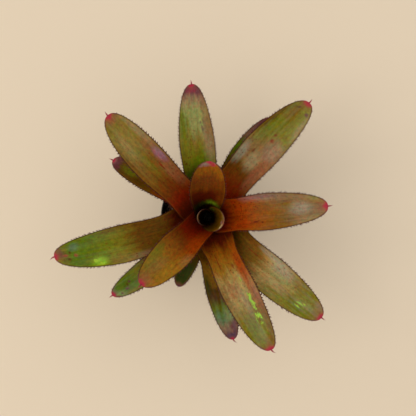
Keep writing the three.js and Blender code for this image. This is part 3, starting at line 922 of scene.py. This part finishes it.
def leafSpines(bench, size):
    length = askBlade(bench, size, 0.5, 0.0)["Length"]
    span = size["Last Share"] - size["First Share"]
    perSide = bench.maths("CEIL", length * span / size["Spacing"])
    points = bench.wire("GeometryNodePoints", {"Count": perSide * 2.0})
    index = bench.wire("GeometryNodeInputIndex")
    jitter = bench.random(-0.3, 0.3, size["Scatter Seed"])
    step = bench.maths("FLOOR", index * 0.5) + 0.5 + jitter
    share = size["First Share"] + span * step / perSide
    edge = 1.0 - 2.0 * bench.maths("MODULO", index, 2.0)

    here = askBlade(bench, size, share, edge * 0.998)["Position"]
    ahead = askBlade(bench, size, share + 0.004, edge)["Position"]
    behind = askBlade(bench, size, share - 0.004, edge)["Position"]
    inside = askBlade(bench, size, share, edge * 0.9)["Position"]
    forward = bench.heading(behind, ahead)
    direction = bench.vectorMaths("ADD", bench.heading(inside, here), bench.scaled(forward, size["Lean"]))
    variation = bench.random(*spines["variation"], size["Scatter Seed"] + 1.0)
    scale = size["Spine Length"] * variation
    scale = scale * bench.blend(spines["sheathSize"], 1.0, bench.rise(share, 0.2, 0.45))
    scale = scale * bench.blend(spines["pointSize"], 1.0, bench.rise(share, 0.97, 0.78))
    thorn = thornShape(bench, size["Stoutness"], spines["bend"])
    scales = bench.vector(scale, scale * 0.6, scale)
    row = setThorns(bench, bench.movedTo(points, here), thorn, direction, forward, scales)

    # the hook goes on from the midrib and turns aside
    tipNow = askBlade(bench, size, 1.0, 0.0)["Position"]
    tipBefore = askBlade(bench, size, 0.985, 0.0)["Position"]
    ahead = bench.heading(tipBefore, tipNow)
    aside = bench.vectorMaths("NORMALIZE", bench.vectorMaths("CROSS_PRODUCT", (0.0, 0.0, 1.0), ahead))
    single = bench.wire("GeometryNodePoints", {"Count": 1, "Position": tipNow})
    hook = thornShape(bench, size["Hook Stoutness"], bench.maths("TANGENT", size["Hook Turn"]))
    big = bench.vector(size["Hook Length"], size["Hook Length"], size["Hook Length"])
    point = setThorns(bench, single, hook, ahead, aside, big)
    return bench.join(clad(bench, point, size["Hook Material"]), clad(bench, row, size["Spine Material"]))


def thornMaterial(name, hexText, darkness):
    material, bench, shader = newMaterial(name)
    speckle = bench.grain(bench.objectPlace(), 900.0)
    colour = shaded(hexText)
    dark = [c * darkness for c in colour[:3]] + [1.0]
    colour = bench.mixColour(colour, dark, bench.rise(speckle, 0.4, 0.62))
    finishSurface(bench, shader, colour, 0.4 + speckle * 0.2, 0.3)
    return material


spineMaterial = thornMaterial("spineHorn", spines["colour"], 0.45)
hookMaterial = thornMaterial("pointHorn", spines["hookColour"], 0.5)
thorned = []
for order, (name, leaf) in enumerate(leaves.items()):
    lengthKey = "cupLength" if name in leafRule["cupLeaves"] else "length"
    thorned.append(grow(name + "_spines", leafSpines, {
        **bladeValuesOf[name],
        "Spine Length": spines[lengthKey] * mm,
        "Spacing": spines["spacing"] * mm,
        "Stoutness": spines["stoutness"],
        "Lean": spines["lean"],
        "First Share": spines["firstShare"],
        "Last Share": spines["lastShare"],
        "Hook Length": spines["hookLength"] * mm * leaf.get("hookSize", 1.0),
        "Hook Stoutness": spines["hookStoutness"],
        "Hook Turn": math.radians(leaf.get("hook", 4)),
        "Scatter Seed": spines["seed"] + 3 * order,
        "Spine Material": spineMaterial,
        "Hook Material": hookMaterial,
    }))
with bpy.context.temp_override(active_object=thorned[0], selected_editable_objects=thorned):
    bpy.ops.object.join()
thorned[0].name = "leaf_spines"
place(thorned[0], [])
print("spines set:", len(thorned[0].data.polygons), "faces")


# Pot, potting mix and stem

def turnedMesh(name, profile, segments, centre=(0.0, 0.0)):
    # a closed body of revolution about Z through centre; the profile runs from axis to axis, in millimetres
    shape = bmesh.new()
    rings = []
    for radius, height in profile:
        count = 1 if radius == 0 else segments
        ring = []
        for step in range(count):
            turn = 2 * math.pi * step / count
            x = centre[0] + radius * math.cos(turn)
            y = centre[1] + radius * math.sin(turn)
            ring.append(shape.verts.new((x * mm, y * mm, height * mm)))
        rings.append(ring)
    for low, high in zip(rings, rings[1:]):
        for step in range(segments):
            around = (step + 1) % segments
            corners = [low[step % len(low)], low[around % len(low)],
                       high[around % len(high)], high[step % len(high)]]
            shape.faces.new(list(dict.fromkeys(corners)))
    bmesh.ops.recalc_face_normals(shape, faces=shape.faces)
    mesh = bpy.data.meshes.new(name)
    shape.to_mesh(mesh)
    shape.free()
    return mesh


def smoothShade(mesh, sharpAngle):
    mesh.shade_smooth()
    mesh.set_sharp_from_angle(angle=math.radians(sharpAngle))


def rounded(corners, bends):
    # the polyline with its corners rounded: bends gives each corner's radius
    path = []
    for i, (corner, bend) in enumerate(zip(corners, bends)):
        if bend == 0 or i in (0, len(corners) - 1):
            path.append(corner)
            continue
        here = Vector(corner)
        before = Vector(corners[i - 1])
        after = Vector(corners[i + 1])
        start = here + (before - here).normalized() * bend
        end = here + (after - here).normalized() * bend
        for step in range(5):
            s = step / 4
            path.append(tuple(start * (1 - s) ** 2 + here * 2 * s * (1 - s) + end * s ** 2))
    return path


pot = {
    "footRadius": 36,
    "bandBottom": 81,
    "height": 90,
    "wallTopRadius": 49,
    "rimRadius": 51,
    "wall": 1.2,
    "drainCount": 8,
    "drainRadius": 3.2,
    "drainCircle": 25,
    "drillDepth": 20,
    "segments": 144,
    "ribCount": 24,          # stacking ribs inside, under the rim
    "ribWidth": 1.3,
    "ribDepth": 1.1,
    "ribLength": 9,
    "ribLean": 0.16,
    "ribTop": 85.5,
    "colour": "0b0b0c",
    "dust": "4a443c",
    "dustHeight": 30,
}


def potProfile():
    # outside from the middle of the bottom up to the lip, then down the inside
    foot, top, wall = pot["footRadius"], pot["wallTopRadius"], pot["wall"]
    rim, band, height = pot["rimRadius"], pot["bandBottom"], pot["height"]
    lean = (top - foot) / band
    inner = rim - wall
    corners = [(0, 0.5), (foot - 5, 0.5), (foot - 4.4, 0), (foot - 0.2, 0), (foot + 7 * lean, 7),
               (foot + 7.5 * lean - 0.35, 7.8), (top - 2.4 * lean - 0.3, band - 2.4), (top - 0.1, band - 1.2),
               (rim - 0.5, band - 0.3), (rim, band + 0.6), (rim, band + 1.8), (rim - 0.4, band + 2.2),
               (rim - 0.4, height - 2.6), (rim, height - 2.1), (rim, height), (inner - 0.3, height),
               (inner + 0.1, height - 1.6), (inner - 0.3, height - 2.6), (inner - 0.3, band + 1),
               (top - wall, band - 1.2), (foot + 0.5 - wall, wall), (0, wall)]
    bends = [0, 0.2, 0.2, 0.6, 0.3, 0.3, 0.3, 0.4, 0.4, 0.3, 0.3,
             0.2, 0.2, 0.2, 0.6, 0.6, 0.4, 0.3, 0.5, 0.6, 1.6, 0]
    return rounded(corners, bends)


def drilledPot(bench, size):
    # a ring of drain holes cut through the bottom
    drill = bench.wire("GeometryNodeMeshCylinder", {
        "Vertices": 32, "Radius": size["Drain Radius"], "Depth": size["Drill Depth"]})
    circle = bench.wire("GeometryNodeMeshCircle", {
        "Vertices": size["Drain Count"], "Radius": size["Drain Circle"]})
    drills = bench.wire("GeometryNodeRealizeInstances", {"Geometry": bench.scatter(circle, drill)})
    return clad(bench, bench.cut(size["Geometry"], drills), size["Material"])


def stackingRibs(bench, size):
    # short ribs standing in a ring, by which stacked pots come apart again
    bar = bench.wire("GeometryNodeMeshCube", {
        "Size": bench.vector(size["Rib Width"], size["Rib Depth"], size["Rib Length"]),
        "Vertices X": 2, "Vertices Y": 2, "Vertices Z": 4})
    x, y, z = bench.parts(bench.position())
    thinning = bench.rise(z, size["Rib Length"] * -0.5, size["Rib Length"] * 0.2)
    bar = bench.movedTo(bar, bench.vector(x * (0.3 + thinning * 0.7) + z * size["Lean"], y, z))
    circle = bench.wire("GeometryNodeMeshCircle", {"Vertices": size["Count"], "Radius": size["Ring Radius"]})
    index = bench.wire("GeometryNodeInputIndex")
    turn = bench.vector(0.0, 0.0, index / size["Count"] * (2 * math.pi))
    rotation = bench.wire("FunctionNodeEulerToRotation", {0: turn})
    lifted = bench.wire("GeometryNodeTransform", {
        "Geometry": bench.scatter(circle, bar, rotation),
        "Translation": bench.vector(0.0, 0.0, size["Height"])})
    return clad(bench, lifted, size["Material"])


def potMaterial():
    # matt black plastic with drip marks down the wall, and dust towards the foot
    material, bench, shader = newMaterial("potPlastic")
    at = bench.objectPlace()
    z = bench.parts(at)[2]
    grain = bench.grain(at, 2400.0)
    smear = bench.grain(at, (60.0, 60.0, 40.0), 4.0, 0.6)
    drips = bench.grain(at, (260.0, 260.0, 16.0), 3.0)
    specks = bench.grain(at, 620.0, 3.0)
    scuffs = bench.grain(at, (120.0, 120.0, 1500.0))
    dust = bench.rise(drips, 0.54, 0.74) * bench.rise(smear, 0.4, 0.6) * 0.3
    atFoot = bench.rise(z, pot["dustHeight"] * mm, 0.0)
    dust = dust + atFoot * bench.rise(smear * 0.6 + specks * 0.4, 0.44, 0.62) * 0.45
    dust = dust + bench.rise(specks, 0.66, 0.74) * 0.35
    colour = bench.mixColour(shaded(pot["colour"]), shaded(pot["dust"]), dust)
    rough = 0.4 + dust * 0.5 + (scuffs - 0.5) * 0.25 + (smear - 0.5) * 0.2
    relief = grain * 0.25 + scuffs * 0.3 + smear * 0.5 + specks * 0.2
    finishSurface(bench, shader, colour, rough, 0.38, relief, 0.3, 0.3)
    return material


def makePot():
    plastic = potMaterial()
    body = grow("pot_body", drilledPot, {
        "Drain Count": pot["drainCount"],
        "Drain Radius": pot["drainRadius"] * mm,
        "Drain Circle": pot["drainCircle"] * mm,
        "Drill Depth": pot["drillDepth"] * mm,
        "Material": plastic,
    }, turnedMesh("potTurned", potProfile(), pot["segments"]))
    smoothShade(body.data, 40)
    ribs = grow("pot_ribs", stackingRibs, {
        "Count": pot["ribCount"],
        "Ring Radius": (pot["wallTopRadius"] - pot["wall"] - 1.0) * mm,
        "Height": (pot["ribTop"] - 0.5 * pot["ribLength"]) * mm,
        "Rib Width": pot["ribWidth"] * mm,
        "Rib Depth": pot["ribDepth"] * mm,
        "Rib Length": pot["ribLength"] * mm,
        "Lean": pot["ribLean"],
        "Material": plastic,
    })
    place(body, ["pot"])
    place(ribs, [])


makePot()
print("pot turned")

mix = {
    "bottom": 1.6,
    "top": 79.2,
    "inset": 1.2,
    "dipFrom": 40,           # it has settled towards the wall
    "dipTo": 46.5,
    "dip": 1.2,
    "lumpHeight": 1.4,
    "lumps": {               # density per square metre, size, inner and outer radius, height, flatness
        "bark_chips": (110000, 5.2, 29, 44.5, 0, 0.38),
        "perlite_grains": (26000, 1.7, 28.5, 46, 0.8, 0.8),
    },
    "lumpSizes": (0.45, 1.25),
    "lumpWidths": (0.4, 0.9),
    "seed": 5,
    "soil": "1d120a",
    "soilPale": "3d2a1a",
    "barkDark": "2a160c",
    "barkPale": "6a452a",
    "gritDark": "a8a090",
    "grit": "c9c2b4",
}


def fillingProfile():
    foot, top, wall, band = pot["footRadius"], pot["wallTopRadius"], pot["wall"], pot["bandBottom"]
    inner = foot + (top - foot) * 2 / band - wall - mix["inset"]
    outer = top - wall - mix["inset"]
    low, high = mix["bottom"], mix["top"]
    corners = [(0, low), (inner, low)]
    corners += [(inner + (outer - inner) * s / 12, low + (high - low) * s / 12) for s in range(1, 13)]
    corners += [(outer * (1 - s / 26), high) for s in range(1, 26)]
    return corners + [(0, high)]


def pocketedMix(bench, size):
    # lumps on the top, and the pocket that the stem stands in
    at = bench.position()
    x, y, z = bench.parts(at)
    lumps = bench.grain(at, 220.0, 4.0, 0.6) - 0.5
    onTop = bench.rise(z, size["Top"] - 0.001, size["Top"])
    settled = bench.rise(bench.distance(x, y), size["Dip From"], size["Dip To"]) * size["Dip"]
    lifted = bench.vector(0.0, 0.0, (lumps * 2.0 * size["Lump Height"] - settled) * onTop)
    shaped = bench.moved(size["Geometry"], lifted)
    pocket = bench.wire("GeometryNodeObjectInfo", {"Object": size["Pocket"]}, "Geometry")
    return clad(bench, bench.cut(shaped, pocket), size["Material"])


def fromAxis(bench, x, y):
    # the way from the plant's axis, and its length
    dx = x - plant["axis"][0] * mm
    dy = y - plant["axis"][1] * mm
    return dx, dy, bench.distance(dx, dy)


def scatteredLumps(bench, size):
    # lumps of one shape scattered on the mix between the stem and the pot's wall
    disc = bench.wire("GeometryNodeMeshGrid", {
        "Size X": size["Outer"] * 2.0, "Size Y": size["Outer"] * 2.0, "Vertices X": 2, "Vertices Y": 2})
    scattered = bench.wire("GeometryNodeDistributePointsOnFaces", {
        "Mesh": disc, "Density": size["Density"], "Seed": size["Scatter Seed"]})
    x, y = bench.parts(bench.position())[:2]
    fromStem = fromAxis(bench, x, y)[2]
    unwanted = bench.most(bench.maths("GREATER_THAN", bench.distance(x, y), size["Outer"]),
                          bench.maths("LESS_THAN", fromStem, size["Inner"]))
    kept = bench.wire("GeometryNodeDeleteGeometry", {
        "Geometry": scattered, "Selection": unwanted}, domain="POINT")
    rise = bench.random(-0.2, 0.5, size["Scatter Seed"] + 2.0)
    kept = bench.moved(kept, bench.vector(0.0, 0.0, size["Height"] + rise * size["Size"] * 0.5))
    lump = bench.wire("GeometryNodeMeshIcoSphere", {"Radius": 0.5, "Subdivisions": 2})
    rough = bench.grain(bench.position(), 2.6, 1.0)
    lump = bench.moved(lump, bench.scaled(bench.wire("GeometryNodeInputNormal"), (rough - 0.5) * 1.1))
    turn = bench.wire("FunctionNodeRandomValue", {
        0: (-0.5, -0.5, 0.0), 1: (0.5, 0.5, 6.283), "Seed": size["Scatter Seed"] + 3.0},
        data_type="FLOAT_VECTOR")
    rotation = bench.wire("FunctionNodeEulerToRotation", {0: turn})
    big = size["Size"] * bench.random(*mix["lumpSizes"], size["Scatter Seed"] + 4.0)
    slim = bench.random(*mix["lumpWidths"], size["Scatter Seed"] + 5.0)
    placed = bench.scatter(kept, lump, rotation, bench.vector(big, big * slim, big * size["Squash"]))
    tone = bench.random(0.0, 1.0, size["Scatter Seed"] + 6.0)
    placed = store(bench, placed, "lumpTone", tone, domain="INSTANCE")
    return clad(bench, placed, size["Material"])


def lumpMaterial(name, darkText, paleText, grainSize, roughness):
    material, bench, shader = newMaterial(name)
    at = bench.objectPlace()
    coarse = 1.0 / (grainSize * mm)
    grain = bench.grain(at, (coarse, coarse, coarse * 0.4), 5.0, 0.65)
    fine = bench.grain(at, (coarse * 6, coarse * 6, coarse * 3), 3.0)
    tone = bench.wire("ShaderNodeAttribute", output="Fac", attribute_name="lumpTone")
    share = bench.rise(grain * 0.6 + fine * 0.15 + tone * 0.35, 0.3, 0.85)
    colour = bench.mixColour(shaded(darkText), shaded(paleText), share)
    relief = grain * 0.7 + fine * 0.3
    finishSurface(bench, shader, colour, roughness + (fine - 0.5) * 0.2, relief=relief, depth=0.8)
    return material


def makeMix(stemMesh):
    pocket = bpy.data.objects.new("pocket", stemMesh)
    scene.collection.objects.link(pocket)
    filling = grow("mix_filling", pocketedMix, {
        "Pocket": pocket,
        "Top": mix["top"] * mm,
        "Lump Height": mix["lumpHeight"] * mm,
        "Dip": mix["dip"] * mm,
        "Dip From": mix["dipFrom"] * mm,
        "Dip To": mix["dipTo"] * mm,
        "Material": lumpMaterial("soil", mix["soil"], mix["soilPale"], 2.2, 0.9),
    }, turnedMesh("mixTurned", fillingProfile(), 120))
    bpy.data.objects.remove(pocket)
    smoothShade(filling.data, 60)
    place(filling, ["potting_mix"])
    materials = [lumpMaterial("bark", mix["barkDark"], mix["barkPale"], 1.4, 0.85),
                 lumpMaterial("perlite", mix["gritDark"], mix["grit"], 1.0, 0.9)]
    for n, (name, lump) in enumerate(mix["lumps"].items()):
        density, size, inner, outer, lift, flatness = lump
        lumps = grow(name, scatteredLumps, {
            "Density": density,
            "Size": size * mm,
            "Inner": inner * mm,
            "Outer": outer * mm,
            "Height": (mix["top"] + lift) * mm,
            "Squash": flatness,
            "Scatter Seed": mix["seed"] + 20 * n,
            "Material": materials[n],
        })
        place(lumps, [])


stem = {
    "bottom": 44,
    "rootstock": 35,
    "ringPitch": 2.6,        # mm between the scars of old leaves
    "ringDepth": 0.35,
    "dark": "20140a",
    "pale": "6b5630",
    # painted shade: the near black that the stem's top takes down in the cup
    "cupHoleShade": "0c0a05",
    "shadeHeights": (90, 95),   # heights between which the stem's top, in the cup's wet heart, is painted near black as shade
    "wetting": (92, 96),
}


def stemProfile(clearance, steps):
    # rootstock, collar and cone; steps points on each straight run
    wide, bottom, root = plant["collarRadius"], stem["bottom"], stem["rootstock"]
    coneFoot = plant["coneTipHeight"] - plant["coneSlope"] * wide
    corners = [(0, bottom), (0.2 * wide, bottom + 1.5), (0.35 * wide, bottom + 0.25 * root),
               (0.6 * wide, bottom + 0.6 * root), (0.85 * wide, bottom + 0.88 * root),
               (wide, bottom + root), (wide, coneFoot), (2, 98.68), (0, 99.35)]
    moved = [(r + (clearance if r > 0 else 0), h + (clearance if h > 90 else -clearance if h < 45 else 0))
             for r, h in corners]
    path = []
    for (r0, h0), (r1, h1) in zip(moved, moved[1:]):
        path += [(r0 + (r1 - r0) * s / steps, h0 + (h1 - h0) * s / steps) for s in range(steps)]
    return path + [moved[-1]]


def ringedStem(bench, size):
    # the scars of old leaves ring the rootstock
    at = bench.position()
    x, y, z = bench.parts(at)
    dx, dy, radius = fromAxis(bench, x, y)
    radius = bench.most(0.0005, radius)
    wobble = bench.grain(at, 90.0, 3.0)
    phase = (z + wobble * 0.002) / size["Ring Pitch"] * (2 * math.pi)
    depth = (bench.maths("SINE", phase) * 0.5 - 0.5) * size["Ring Depth"] - wobble * size["Ring Depth"]
    share = depth * bench.rise(radius, 0.001, 0.006) / radius
    ringed = bench.moved(size["Geometry"], bench.vector(dx * share, dy * share, 0.0))
    return clad(bench, ringed, size["Material"])


def stemMaterial():
    material, bench, shader = newMaterial("stemFibre")
    at = bench.objectPlace()
    z = bench.parts(at)[2]
    fibre = bench.grain(at, (700.0, 700.0, 60.0), 4.0, 0.6)
    patchy = bench.grain(at, (120.0, 120.0, 200.0), 3.0)
    share = bench.rise(fibre * 0.6 + patchy * 0.4, 0.36, 0.66)
    colour = bench.mixColour(shaded(stem["dark"]), shaded(stem["pale"]), share)
    # painted shade: the stem's top deep in the cup goes near black; it is also wet there, so less rough
    dark, wet = [bench.rise(z, low * mm, high * mm) for low, high in (stem["shadeHeights"], stem["wetting"])]
    colour = bench.mixColour(colour, shaded(stem["cupHoleShade"]), dark)
    rough = 0.8 - wet * 0.6
    finishSurface(bench, shader, colour, rough, relief=fibre * 0.7 + patchy * 0.3)
    return material


def makeStem():
    body = grow("stem_body", ringedStem, {
        "Ring Pitch": stem["ringPitch"] * mm,
        "Ring Depth": stem["ringDepth"] * mm,
        "Material": stemMaterial(),
    }, turnedMesh("stemTurned", stemProfile(0.0, 9), 96, plant["axis"]))
    smoothShade(body.data, 50)
    place(body, ["stem"])


makeMix(turnedMesh("pocketTurned", stemProfile(0.25, 1), 96, plant["axis"]))
makeStem()
print("mix and stem in place")
